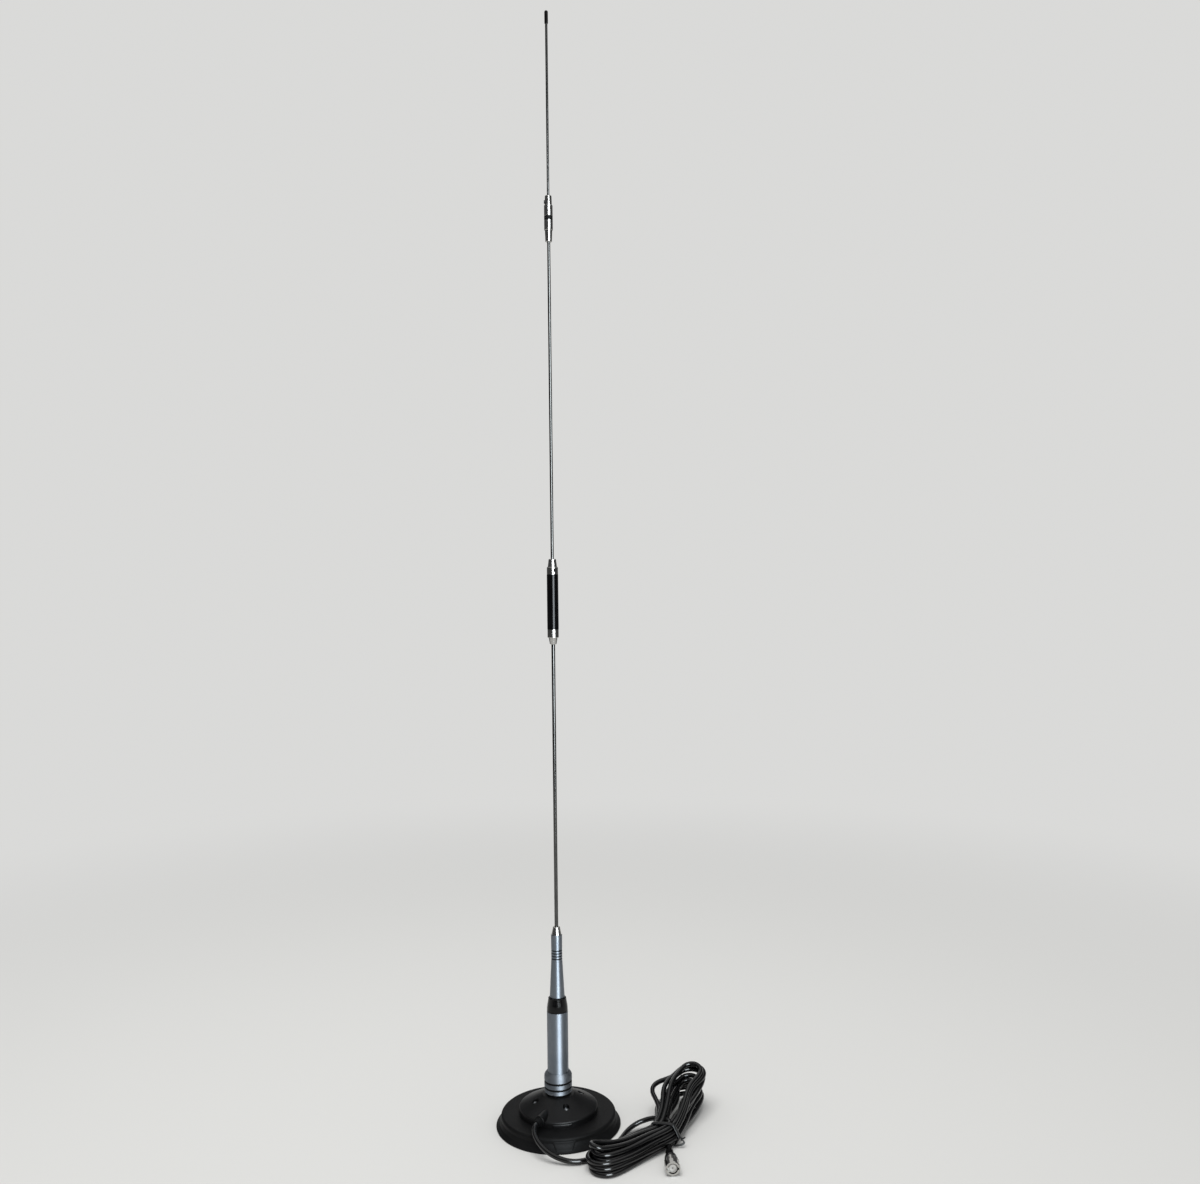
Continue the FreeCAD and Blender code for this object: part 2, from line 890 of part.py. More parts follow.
def coil_set_screw():
    return set_screw(
        middle_rod_radius + press_gap, coil_ring_radius - coil_screw_sink,
        coil_screw_angle, sleeve_top + coil_screw_rise)


def joint_half(rod_radius, body_length, taper_length, taper_root, taper_tip):
    """Half of the joint made upwards from its spacer at height 0: body and taper."""
    pin_hole = joint_pin_radius + press_gap
    rod_hole = rod_radius + press_gap
    return turned([
        (pin_hole, 0),
        (joint_radius, 0, joint_edge),
        (joint_radius, body_length, joint_edge),
        (taper_root, body_length),
        (taper_tip, body_length + taper_length, joint_edge),
        (rod_hole, body_length + taper_length),
        (rod_hole, joint_pin_length + joint_web),
        (0, joint_pin_length + joint_web),
        (0, joint_pin_length),
        (pin_hole, joint_pin_length),
    ])


def joint_lower_ferrule():
    half = joint_half(
        middle_rod_radius, joint_bodies[0], joint_tapers[0], joint_taper_roots[0], joint_taper_tips[0])
    return placed(half, UP * spacer_bottom, -UP)


def joint_upper_ferrule():
    half = joint_half(
        top_rod_radius, joint_bodies[1], joint_tapers[1], joint_taper_roots[1], joint_taper_tips[1])
    half.translate(UP * spacer_top)
    hole = spoke(
        set_screw_radius + press_gap, top_rod_radius, joint_radius,
        joint_screw_angle, joint_body_top + joint_screw_rise)
    return half.cut(hole)


def joint_spacer():
    spacer = disc(joint_radius, spacer_bottom, spacer_top)
    pin = disc(joint_pin_radius, spacer_bottom - joint_pin_length, spacer_top + joint_pin_length)
    return spacer.fuse(pin).removeSplitter()


def joint_set_screw():
    return set_screw(
        top_rod_radius + press_gap, joint_taper_roots[1] + joint_screw_proud,
        joint_screw_angle, joint_body_top + joint_screw_rise)


def tip_cap():
    rod_hole = top_rod_radius + press_gap
    return turned([
        (rod_hole, tip_bottom),
        (tip_radius, tip_bottom),
        (tip_radius, tip_top, tip_radius * 0.9, ROUND),
        (0, tip_top),
        (0, tip_bottom + tip_rod_depth),
        (rod_hole, tip_bottom + tip_rod_depth),
    ])


bnc_flange_bottom = bnc_sleeve_depth + moving_gap
bnc_rear = bnc_ring_length + moving_gap + bnc_body_length + bnc_ferrule_length


def along_cable(shape):
    """Lay a plug piece on the floor, with its front at the plug's place and its back towards +Y."""
    return placed(shape, FreeCAD.Vector(bnc_place[0], bnc_place[1], bnc_height), FreeCAD.Vector(0, 1, 0))


def bayonet_ring():
    shell = turned([
        (bnc_ring_bore, 0),
        (bnc_ring_radius, 0, bnc_ring_edge),
        (bnc_ring_radius, bnc_ring_length, bnc_ring_edge),
        (bnc_ring_bore, bnc_ring_length),
    ])
    flute = disc(bnc_flute_radius, bnc_flute_start, bnc_ring_length)
    for index in range(bnc_flute_count):
        shell = shell.cut(flute.translated(outward(360 / bnc_flute_count * index) * bnc_ring_radius))
    for angle in (0, 180):
        notch = spoke(bnc_slot_width / 2, 0, bnc_ring_radius, angle, bnc_slot_depth)
        mouth = Part.makeBox(bnc_ring_radius, bnc_slot_width, bnc_slot_depth)
        mouth.translate(FreeCAD.Vector(0, -bnc_slot_width / 2, 0))
        inside = disc((bnc_ring_bore + bnc_ring_radius) / 2, 0, bnc_ring_length)
        shell = shell.cut(notch).cut(mouth.rotated(ORIGIN, UP, angle).common(inside))
    return along_cable(shell)


def bnc_body():
    bore = bnc_sleeve_radius - bnc_sleeve_wall
    hub = bnc_ring_bore - shaft_gap
    back = bnc_ring_length + moving_gap
    return along_cable(turned([
        (bore, bnc_front_recess),
        (bnc_sleeve_radius, bnc_front_recess),
        (bnc_sleeve_radius, bnc_flange_bottom),
        (hub, bnc_flange_bottom),
        (hub, back),
        (bnc_body_radius, back, bnc_ring_edge),
        (bnc_body_radius, back + bnc_body_length, bnc_ring_edge),
        (bore, back + bnc_body_length),
    ]))


def bnc_insulator():
    outer = bnc_sleeve_radius - bnc_sleeve_wall - press_gap
    back = bnc_ring_length + moving_gap + bnc_body_length
    return along_cable(ring(bnc_pin_radius + press_gap, outer, bnc_insulator_recess, back))


def bnc_pin():
    back = bnc_ring_length + moving_gap + bnc_body_length
    return along_cable(turned([
        (0, bnc_pin_recess),
        (bnc_pin_radius, bnc_pin_recess, bnc_pin_radius / 2),
        (bnc_pin_radius, back),
        (0, back),
    ]))


def bnc_ferrule():
    front = bnc_ring_length + moving_gap + bnc_body_length
    bore = cable_radius + press_gap
    return along_cable(turned([
        (0, front),
        (bnc_ferrule_radius, front),
        (bnc_ferrule_radius, bnc_rear, bnc_ring_edge),
        (bore, bnc_rear),
        (bore, bnc_rear - bnc_cable_depth),
        (0, bnc_rear - bnc_cable_depth),
    ]))


def cable(points, name):
    """A round cable along straight runs joined by the largest arcs that fit."""
    edges = []
    start = points[0]
    radii = []
    for before, corner, after in zip(points, points[1:], points[2:]):
        shorter = min(corner.distanceToPoint(before), corner.distanceToPoint(after))
        first, middle, last, radius = rounded_corner(before, corner, after, 0.45 * shorter)
        edges.append(Part.LineSegment(start, first).toShape())
        edges.append(Part.Arc(first, middle, last).toShape())
        radii.append(radius)
        start = last
    edges.append(Part.LineSegment(start, points[-1]).toShape())
    path = Part.Wire(edges)
    section = Part.Wire(Part.makeCircle(cable_radius, points[0], points[1] - points[0]))
    tube = path.makePipeShell([section], True, False)
    expected = math.pi * cable_radius ** 2 * path.Length
    print(name, "arc radii", [round(radius, 1) for radius in radii])
    print(name, "length", round(path.Length, 1), "volume ratio", round(tube.Volume / expected, 4))
    return tube


def cable_lead():
    reaches = (lead_start, outlet_reach + gland_nose + lead_straight)
    way_out = [outward(outlet_angle) * reach + UP * outlet_height for reach in reaches]
    return cable(way_out + [FreeCAD.Vector(*point) for point in lead_route], "lead")


def cable_tail():
    end = FreeCAD.Vector(bnc_place[0], bnc_place[1] + bnc_rear - bnc_cable_depth + press_gap, bnc_height)
    bend = end + FreeCAD.Vector(0, bnc_cable_depth + tail_straight, 0)
    return cable([FreeCAD.Vector(*point) for point in tail_route] + [bend, end], "tail")


def hank_section(centre, heading, left, right, bottom, top):
    """A rectangle with cut corners that stands across the hank."""
    side = outward(heading - 90)
    low_left = centre - side * left + UP * bottom
    low_right = centre + side * right + UP * bottom
    high_right = centre + side * right + UP * top
    high_left = centre - side * left + UP * top
    cut = hank_rounding * min(left + right, top - bottom)
    return closed_wire([low_left, low_right, high_right, high_left], [cut] * 4, [False] * 4)


def waist_section(distance, margin):
    """The tied middle of the hank, grown on every side by a margin."""
    centre = FreeCAD.Vector(waist[0], waist[1], 0) + outward(waist_heading) * distance
    half = waist_width / 2 + margin
    low = waist_bottom - margin
    return hank_section(centre, waist_heading, half, half, low, waist_bottom + waist_height + margin)


def cable_hank():
    middle = FreeCAD.Vector(waist[0], waist[1], 0)
    sections = []
    for distance, left, right, bottom, top in reversed(lower_lobe):
        centre = middle + outward(lower_heading) * distance
        sections.append(hank_section(centre, lower_heading - 180, right, left, bottom, top))
    sections.append(waist_section(-waist_length / 2, 0))
    sections.append(waist_section(waist_length / 2, 0))
    for distance, left, right, bottom, top in upper_lobe:
        centre = middle + outward(upper_heading) * distance
        sections.append(hank_section(centre, upper_heading, left, right, bottom, top))
    return Part.makeLoft(sections, True, True)


def twist_tie():
    heading = outward(waist_heading)
    outer = Part.Face(waist_section(-tie_width / 2, tie_gap + tie_thickness)).extrude(heading * tie_width)
    inner = Part.Face(waist_section(-tie_width / 2, tie_gap)).extrude(heading * tie_width)
    band = outer.cut(inner)
    end = Part.makeBox(tie_end_length, tie_end_width, tie_end_thickness)
    side = waist_width / 2 + tie_gap
    end.translate(FreeCAD.Vector(side, -tie_end_width / 2, waist_bottom + waist_height / 3))
    end.rotate(ORIGIN, UP, waist_heading - 90)
    end.translate(FreeCAD.Vector(waist[0], waist[1], 0))
    return band.fuse(end).removeSplitter()


nodes = (
    rubber_boot, steel_cup, ring_magnet, cone_cover, cover_screws, cable_gland, inner_lead,
    socket_body, socket_insulator, socket_contact, socket_gasket, jam_nut,
    coupling_nut, grip_rings,
    plug_body, plug_collar, plug_insulator, plug_pin, base_tube, coil_former, matching_coil,
    fold_collar, guide_bush, fold_tongue, stem_nut, fold_spring,
    hinge_pin, neck_sleeve, neck_ferrule, lower_rod,
    coil_lower_ferrule, coil_core, coil_winding, coil_sleeve, coil_upper_ferrule, coil_set_screw,
    middle_rod, joint_lower_ferrule, joint_spacer, joint_upper_ferrule, joint_set_screw,
    top_rod, tip_cap,
    cable_lead, cable_hank, cable_tail, twist_tie,
    bayonet_ring, bnc_body, bnc_insulator, bnc_pin, bnc_ferrule,
)

os.makedirs("parts", exist_ok=True)
for node in nodes:
    node().exportStep("parts/" + node.__name__ + ".step")
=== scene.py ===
import json
import math

import bmesh
import bpy
from mathutils import Euler, Matrix, Vector

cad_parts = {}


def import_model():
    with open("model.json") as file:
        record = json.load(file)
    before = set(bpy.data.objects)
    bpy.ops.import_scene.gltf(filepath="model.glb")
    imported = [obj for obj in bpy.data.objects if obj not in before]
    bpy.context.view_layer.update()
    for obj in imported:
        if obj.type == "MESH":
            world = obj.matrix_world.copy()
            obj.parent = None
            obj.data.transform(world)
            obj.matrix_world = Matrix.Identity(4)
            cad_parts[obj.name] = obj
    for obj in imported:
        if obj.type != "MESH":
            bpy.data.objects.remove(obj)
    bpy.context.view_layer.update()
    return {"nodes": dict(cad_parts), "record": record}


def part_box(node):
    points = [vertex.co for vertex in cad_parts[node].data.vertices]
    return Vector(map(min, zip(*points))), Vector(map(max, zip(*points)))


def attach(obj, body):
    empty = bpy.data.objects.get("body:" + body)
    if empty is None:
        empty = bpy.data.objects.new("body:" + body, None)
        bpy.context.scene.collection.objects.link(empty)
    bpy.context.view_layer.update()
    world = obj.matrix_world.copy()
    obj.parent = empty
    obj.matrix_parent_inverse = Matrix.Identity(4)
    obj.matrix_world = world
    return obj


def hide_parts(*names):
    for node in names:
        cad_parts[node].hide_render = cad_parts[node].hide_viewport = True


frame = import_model()
nodes = frame["nodes"]

MM = 0.001
UP = Vector((0, 0, 1))

# Photograph's frame, in its own pixels, and where the camera stood, in metres
PHOTO_WIDTH = 1200
FOCAL_PIXELS = 1120
SENSOR_MM = 36.0
CAMERA_PLACE = (0.0, -1.176, 0.5695)
AXIS_OFFSET_PIXELS = 47.5
LEVEL_OFFSET_PIXELS = 12.0
WHIP_LEAN_DEGREES = 0.65
CAMERA_FAR = 100

# Floor and background
PALE = (0.70, 0.70, 0.69)
FLOOR_HALF = 12.0
FLOOR_ROUGHNESS = 0.9
FLOOR_CLEAR_FROM = 0.5
FLOOR_CLEAR_TO = 1.8

# Light: even light from all round, two soft lamps, and dark cloths from one angle to another
AMBIENT_STRENGTH = 0.55
DAYLIGHT = (0.87, 0.95, 1.0)
PLAIN_LIGHT = (1.0, 1.0, 0.98)
WINDOW = {"place": (0.57, -1.655, 0.85), "target": (0, 0, 0.45), "width": 1.0, "height": 1.5,
          "power": 62.0, "colour": DAYLIGHT, "mirrors": True}
CEILING = {"place": (-0.2, -0.3, 2.3), "target": (0, 0, 0.3), "width": 1.6, "height": 1.6,
           "power": 32.0, "colour": PLAIN_LIGHT, "mirrors": False}
FLAG_RADIUS = 1.9
FLAG_HEIGHT = 2.2
FLAG_STEP = 5.0
LEFT_FLAG = (105.0, 264.0)
RIGHT_FLAG = (314.0, 435.0)

# Free cable: the route's points in metres, and its section
CABLE_DIAMETER = 0.005
CABLE_STEPS = 8
CABLE_ROUNDNESS = 5
OUTLET_ANGLE = 243.5
OUTLET_HEIGHT = 0.0215
OUTLET_REACHES = (0.046, 0.0536)
LEAD_ROUTE = (
    (-0.0248, -0.0558, 0.0200),
    (-0.0228, -0.0641, 0.0172),
    (-0.0176, -0.0721, 0.0131),
    (-0.0094, -0.0785, 0.0086),
    (0.0012, -0.0829, 0.0051),
    (0.0133, -0.0853, 0.0032),
    (0.0254, -0.0827, 0.0027),
    (0.0365, -0.0751, 0.0028),
    (0.0470, -0.0650, 0.0027),
    (0.0567, -0.0537, 0.0028),
    (0.0641, -0.0404, 0.0028),
    (0.0710, -0.0260, 0.0038),
    (0.0818, -0.0193, 0.0076),
    (0.0946, -0.0189, 0.0114),
    (0.1058, -0.0249, 0.0144),
    (0.1109, -0.0328, 0.0158),
)
TAIL_ROUTE = (
    (0.1111, -0.0550, 0.0032),
    (0.1097, -0.0651, 0.0045),
    (0.1083, -0.0757, 0.0073),
    (0.1083, -0.0867, 0.0073),
)

# Tied hank, in millimetres: at the waist the cable passes down on the right and up on the left
WAIST = (106.6, -44.4)
WAIST_HEADING = 62.0
WAIST_HALF_LENGTH = 6.0
WAIST_COLUMNS = (2.5, 7.4, 12.3)
WAIST_STAGGER = 2.4
WAIST_ROWS = (4.0, 8.4, 12.8, 17.2)
LEFT_LEAN = 0.87
# Row and column of each pass down, from the lead on top to the tail below
WINDING = ((3, 0), (3, 1), (2, 2), (2, 1), (2, 0), (1, 0), (1, 1), (1, 2), (0, 2), (0, 0))
TURNS = len(WINDING) - 1
# The first turn stands off the top of the lower lobe
LIFTED_TURN = 0
# How far each turn stands out on the left and right of the upper lobe, where one hangs loose
UPPER_SHIFTS = ((3.0, -5.0), (6.0, -7.0), (23.0, 0.0), (7.0, -1.0), (1.0, -7.0), (-8.0, 0.0), (8.0, -3.0),
                (8.0, 0.0), (5.0, -10.0))


def outward(degrees):
    """The level direction at an angle about +Z."""
    return Vector((math.cos(math.radians(degrees)), math.sin(math.radians(degrees)), 0))


# Materials

RELIEF_DEPTH = 0.0001
GRAIN_DETAIL = 2.0
NOISE_MIDDLE = (0.3, 0.7)
TONE_ENDS = (0.32, 0.68)
# Painted shade: ambient occlusion darkens the base colour in grooves and corners
GROOVE_SHADE_SAMPLES = 8
GROOVE_SHADE_OPENNESS = (0.45, 0.95)
GROOVE_SHADE_DARKEST = 0.04


def noise(tree, coordinates, scale, detail=4.0, stretch=(1, 1, 1)):
    """A noise texture in object space, stretched along the axes."""
    mapping = tree.nodes.new("ShaderNodeMapping")
    mapping.inputs["Scale"].default_value = stretch
    tree.links.new(coordinates, mapping.inputs["Vector"])
    texture = tree.nodes.new("ShaderNodeTexNoise")
    texture.inputs["Scale"].default_value = scale
    texture.inputs["Detail"].default_value = detail
    tree.links.new(mapping.outputs["Vector"], texture.inputs["Vector"])
    return texture.outputs["Fac"]


def spread(tree, value, low, high):
    """Map a noise's middle range to the range from low to high."""
    node = tree.nodes.new("ShaderNodeMapRange")
    node.inputs["From Min"].default_value = NOISE_MIDDLE[0]
    node.inputs["From Max"].default_value = NOISE_MIDDLE[1]
    node.inputs["To Min"].default_value = low
    node.inputs["To Max"].default_value = high
    tree.links.new(value, node.inputs["Value"])
    return node.outputs["Result"]


def two_tone(tree, value, dark, light):
    """Colour that runs from dark to light with a noise."""
    ramp = tree.nodes.new("ShaderNodeValToRGB")
    for element, position, colour in zip(ramp.color_ramp.elements, TONE_ENDS, (dark, light)):
        element.position = position
        element.color = (*colour, 1)
    tree.links.new(value, ramp.inputs["Fac"])
    return ramp.outputs["Color"]


def painted_groove_shade(tree, colour, depth):
    """Painted shade: colour that darkens in grooves and corners of about that depth, where shade falls."""
    shade = tree.nodes.new("ShaderNodeAmbientOcclusion")
    shade.samples = GROOVE_SHADE_SAMPLES
    shade.only_local = True
    shade.inputs["Distance"].default_value = depth
    dark = tree.nodes.new("ShaderNodeMapRange")
    dark.inputs["From Min"].default_value = GROOVE_SHADE_OPENNESS[0]
    dark.inputs["From Max"].default_value = GROOVE_SHADE_OPENNESS[1]
    dark.inputs["To Min"].default_value = GROOVE_SHADE_DARKEST
    tree.links.new(shade.outputs["AO"], dark.inputs["Value"])
    mix = tree.nodes.new("ShaderNodeMixRGB")
    mix.blend_type = "MULTIPLY"
    mix.inputs["Fac"].default_value = 1.0
    tree.links.new(colour, mix.inputs["Color1"])
    tree.links.new(dark.outputs["Result"], mix.inputs["Color2"])
    return mix.outputs["Color"]


def bump(tree, value, strength, depth):
    """Relief from a noise."""
    node = tree.nodes.new("ShaderNodeBump")
    node.inputs["Strength"].default_value = strength
    node.inputs["Distance"].default_value = depth
    tree.links.new(value, node.inputs["Height"])
    return node.outputs["Normal"]


def surface(name, dark, light, rough, metal=0.0, patch=60.0, grain=2500.0, stretch=(1, 1, 1),
            relief=0.1, groove_shade_depth=None, settings=None):
    """A surface whose colour, gloss and relief vary as the real one's do, with painted shade in its grooves
    where a depth is given.
    """
    material = bpy.data.materials.new(name)
    material.use_nodes = True
    tree = material.node_tree
    shader = tree.nodes["Principled BSDF"]
    coordinates = tree.nodes.new("ShaderNodeTexCoord").outputs["Object"]
    patches = noise(tree, coordinates, patch)
    grains = noise(tree, coordinates, grain, GRAIN_DETAIL, stretch)
    colour = two_tone(tree, patches, dark, light)
    # Painted shade in grooves and corners, not dirt
    if groove_shade_depth:
        colour = painted_groove_shade(tree, colour, groove_shade_depth)
    tree.links.new(colour, shader.inputs["Base Color"])
    tree.links.new(spread(tree, grains, *rough), shader.inputs["Roughness"])
    tree.links.new(bump(tree, grains, relief, RELIEF_DEPTH), shader.inputs["Normal"])
    shader.inputs["Metallic"].default_value = metal
    for socket, value in (settings or {}).items():
        shader.inputs[socket].default_value = value
    return material


# How the grain is stretched: turned about an axis, or ground along the rods
LATHE_Z = (0.02, 0.02, 1.0)
LATHE_Y = (0.02, 1.0, 0.02)
GROUND = (1.0, 1.0, 0.02)
TURNED = {"Anisotropic": 0.85, "Anisotropic Rotation": 0.25}

# satin_silver, turned_silver and plug_nickel carry painted shade that darkens their grooves
materials = {
    "boot_rubber": surface("boot_rubber", (0.0024, 0.0024, 0.0027), (0.0050, 0.0050, 0.0054), (0.50, 0.68),
                           grain=1800.0, relief=0.25, settings={"Specular IOR Level": 0.14}),
    "zinc_steel": surface("zinc_steel", (0.24, 0.245, 0.255), (0.32, 0.325, 0.335), (0.26, 0.38), 1.0,
                          stretch=LATHE_Z),
    "ferrite": surface("ferrite", (0.03, 0.03, 0.032), (0.06, 0.06, 0.063), (0.55, 0.70), grain=3000.0,
                       relief=0.3),
    "cover_plastic": surface("cover_plastic", (0.0030, 0.0030, 0.0034), (0.0060, 0.0060, 0.0064),
                             (0.36, 0.48), grain=3200.0, relief=0.2,
                             settings={"Specular IOR Level": 0.22}),
    "cable_jacket": surface("cable_jacket", (0.0030, 0.0030, 0.0034), (0.0060, 0.0060, 0.0066), (0.12, 0.20),
                            grain=900.0, relief=0.04, settings={"Specular IOR Level": 0.5}),
    "white_insulator": surface("white_insulator", (0.84, 0.83, 0.81), (0.92, 0.91, 0.89), (0.35, 0.50)),
    "nickel": surface("nickel", (0.46, 0.455, 0.435), (0.56, 0.55, 0.53), (0.14, 0.24), 1.0, grain=6000.0,
                      stretch=LATHE_Z, relief=0.02),
    "plug_nickel": surface("plug_nickel", (0.44, 0.435, 0.42), (0.54, 0.53, 0.51), (0.10, 0.20), 1.0,
                           grain=6000.0, stretch=LATHE_Y, relief=0.03, groove_shade_depth=0.002),
    "brass": surface("brass", (0.66, 0.45, 0.18), (0.78, 0.58, 0.28), (0.20, 0.34), 1.0, grain=6000.0,
                     stretch=LATHE_Z, relief=0.08),
    "satin_silver": surface("satin_silver", (0.245, 0.275, 0.315), (0.29, 0.32, 0.36), (0.46, 0.56), 1.0,
                            grain=4000.0, relief=0.06, groove_shade_depth=0.0015, settings=TURNED),
    "turned_silver": surface("turned_silver", (0.26, 0.285, 0.32), (0.32, 0.345, 0.38), (0.58, 0.70), 1.0,
                             grain=5000.0, stretch=LATHE_Z, relief=0.12, groove_shade_depth=0.0015, settings=TURNED),
    "gloss_black": surface("gloss_black", (0.0020, 0.0020, 0.0024), (0.0040, 0.0040, 0.0045), (0.08, 0.18),
                           grain=300.0, relief=0.02, settings={"Specular IOR Level": 0.24}),
    "coil_former": surface("coil_former", (0.30, 0.20, 0.10), (0.42, 0.29, 0.16), (0.40, 0.60)),
    "copper_wire": surface("copper_wire", (0.55, 0.22, 0.10), (0.68, 0.30, 0.14), (0.20, 0.35), 1.0,
                           grain=1200.0, stretch=LATHE_Z, relief=0.4),
    "stainless": surface("stainless", (0.078, 0.078, 0.076), (0.102, 0.102, 0.099), (0.16, 0.24), 1.0,
                         grain=2500.0, stretch=GROUND, relief=0.004),
    "black_steel": surface("black_steel", (0.010, 0.010, 0.010), (0.022, 0.022, 0.022), (0.30, 0.45), 0.6),
    "tie_plastic": surface("tie_plastic", (0.006, 0.006, 0.0065), (0.014, 0.014, 0.015), (0.34, 0.48),
                           grain=1500.0, settings={"Specular IOR Level": 0.4}),
}

# Looks of the solids: those of the record's slots, apart from the pieces named here

node_slots = {part["node"]: part["material_slot"] for part in frame["record"]["subparts"]}
PIECE_LOOKS = {"cable_gland": "boot_rubber", "joint_spacer": "boot_rubber", "coupling_nut": "turned_silver"}
PLUG_PIECES = ("bayonet_ring", "bnc_body", "bnc_insulator", "bnc_pin", "bnc_ferrule")
for node_name, node in nodes.items():
    slot_name = PIECE_LOOKS.get(node_name, node_slots[node_name])
    if slot_name in ("nickel", "brass") and node_name in PLUG_PIECES:
        slot_name = "plug_nickel"
    for material_slot in node.material_slots:
        material_slot.material = materials[slot_name]


# Pieces from points and faces

def tube_faces(rings, size, closed):
    """Faces between rings of points, in one list of points."""
    faces = []
    for ring in range(rings if closed else rings - 1):
        following = (ring + 1) % rings
        for index in range(size):
            beside = (index + 1) % size
            faces.append((ring * size + index, ring * size + beside,
                          following * size + beside, following * size + index))
    if not closed:
        faces.append(tuple(range(size))[::-1])
        faces.append(tuple(range((rings - 1) * size, rings * size)))
    return faces


def mesh_piece(name, points, faces, body, slot, smooth=True):
    """An object from points and faces that rides on a body."""
    mesh = bpy.data.meshes.new(name)
    mesh.from_pydata(points, [], faces)
    shape = bmesh.new()
    shape.from_mesh(mesh)
    bmesh.ops.recalc_face_normals(shape, faces=shape.faces)
    shape.to_mesh(mesh)
    shape.free()
    mesh.polygons.foreach_set("use_smooth", [smooth] * len(mesh.polygons))
    mesh.materials.append(materials[slot])
    piece = bpy.data.objects.new(name, mesh)
    bpy.context.collection.objects.link(piece)
    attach(piece, body)
    return piece


# Shape of the hank

def hank_point(heading, side_heading, reach, side, height):
    """A point of the hank, from millimetres along and across to metres."""
    place = Vector((*WAIST, height)) + outward(heading) * reach + outward(side_heading - 90) * side
    return place * MM


ROOT_REACH = 28.0
ROOT_SHARE = 0.35
BELLY_REACH = 56.0
ARC_STEPS = (0, 45, 90, 135, 180)

# The lobes: headings, swings and heights run from the floor up, sizes from the inner ring out
LOWER_LOBE = {"headings": (219.5, 218.5), "swings": (0.5, -3.5), "flip": 180, "reaches": (77.0, 88.0, 95.5),
              "bellies": (4.8, 10.2, 15.0), "tips": (8.3, 12.2, 15.5), "rises": (3.5, 0.0, 0.0),
              "belly_heights": (3.0, 15.2), "tip_heights": (2.6, 15.6), "lean": LEFT_LEAN}
LIFTED_LOBE = {"headings": (218.0, 218.0), "swings": (-4.5, -4.5), "flip": 180, "reaches": (90.0,),
               "bellies": (6.0,), "tips": (8.0,), "rises": (0.0,),
               "belly_heights": (17.2, 17.2), "tip_heights": (23.5, 23.5), "lean": LEFT_LEAN}
UPPER_LOBE = {"headings": (67.5, 63.0), "swings": (0.0, 0.0), "flip": 0, "reaches": (88.0, 94.0, 100.0),
              "bellies": (9.0, 13.5, 18.0), "tips": (9.5, 13.5, 17.5), "rises": (0.0, 0.0, 0.0),
              "belly_heights": (5.0, 34.0), "tip_heights": (8.0, 43.0), "lean": 1.0}


def between(ends, share):
    """The value that lies a share of the way from one end to the other."""
    return ends[0] + (ends[1] - ends[0]) * share


def ring_size(sizes, ring):
    """Size of a ring, which may lie half way between two."""
    inner = int(ring)
    outer = min(inner + 1, len(sizes) - 1)
    return between((sizes[inner], sizes[outer]), ring - inner)


def waist_place(row, column, side_sign):
    """Across and up in the waist's stack, whose rows are staggered like piled tubes."""
    side = WAIST_COLUMNS[column] + WAIST_STAGGER * (row % 2)
    return side_sign * side, WAIST_ROWS[row] * (LEFT_LEAN if side_sign < 0 else 1.0)


def waist_points(place, reaches):
    """Points of one straight pass through the waist."""
    side, height = place
    return [hank_point(WAIST_HEADING, WAIST_HEADING, reach, side, height) for reach in reaches]


def half_turn(lobe, level, ring, start, end, shifts=(0.0, 0.0)):
    """Points out along one side of a lobe, round its tip and back along the other."""
    heading = between(lobe["headings"], level)
    side_heading = heading - lobe["flip"]
    swing = between(lobe["swings"], level)
    radius = ring_size(lobe["tips"], ring)
    reach = ring_size(lobe["reaches"], ring)
    belly = ring_size(lobe["bellies"], ring)
    belly_height = between(lobe["belly_heights"], level)
    tip_height = between(lobe["tip_heights"], level) + ring_size(lobe["rises"], ring)
    legs = []
    for side, height in (start, end):
        root_side = between((side, math.copysign(belly, side)), ROOT_SHARE)
        leg_side = math.copysign(belly + shifts[side > 0], side)
        leg_height = belly_height * (lobe["lean"] if side < 0 else 1.0)
        root_height = between((height, leg_height), 0.5)
        legs.append([hank_point(heading, side_heading, ROOT_REACH, root_side, root_height),
                     hank_point(heading, side_heading, BELLY_REACH, leg_side, leg_height)])
    tip = []
    for step in ARC_STEPS:
        angle = math.radians(step)
        side = math.copysign(radius, start[0]) * math.cos(angle)
        height = between((belly_height, tip_height), 0.5 + 0.5 * math.sin(angle))
        along = reach - radius + radius * math.sin(angle)
        tip.append(hank_point(heading + swing, side_heading + swing, along, side, height))
    return legs[0] + tip + legs[1][::-1]


def hank_points():
    """Every turn of the hank, then the last pass towards the tail."""
    downwards = (WAIST_HALF_LENGTH, -WAIST_HALF_LENGTH)
    upwards = downwards[::-1]
    points = []
    for turn, (row, column) in enumerate(WINDING[:-1]):
        next_row, next_column = WINDING[turn + 1]
        down = waist_place(row, column, 1)
        up = waist_place(row, column, -1)
        next_down = waist_place(next_row, next_column, 1)
        lower = LIFTED_LOBE if turn == LIFTED_TURN else LOWER_LOBE
        points += waist_points(down, downwards)
        points += half_turn(lower, row / (len(WAIST_ROWS) - 1), column, down, up)
        points += waist_points(up, upwards)
        points += half_turn(UPPER_LOBE, 1 - turn / (TURNS - 1), (column + next_column) / 2, up, next_down,
                            UPPER_SHIFTS[turn])
    return points + waist_points(waist_place(*WINDING[-1], 1), downwards[:1])


# Soft sleeve behind the plug's ring, over its body, its ferrule and the cable's end

SLEEVE_WALL = 0.45
SLEEVE_TAIL = 4.0
SLEEVE_GAP = 0.4
SLEEVE_SLOPE = 0.8
SLEEVE_COLUMNS = 32


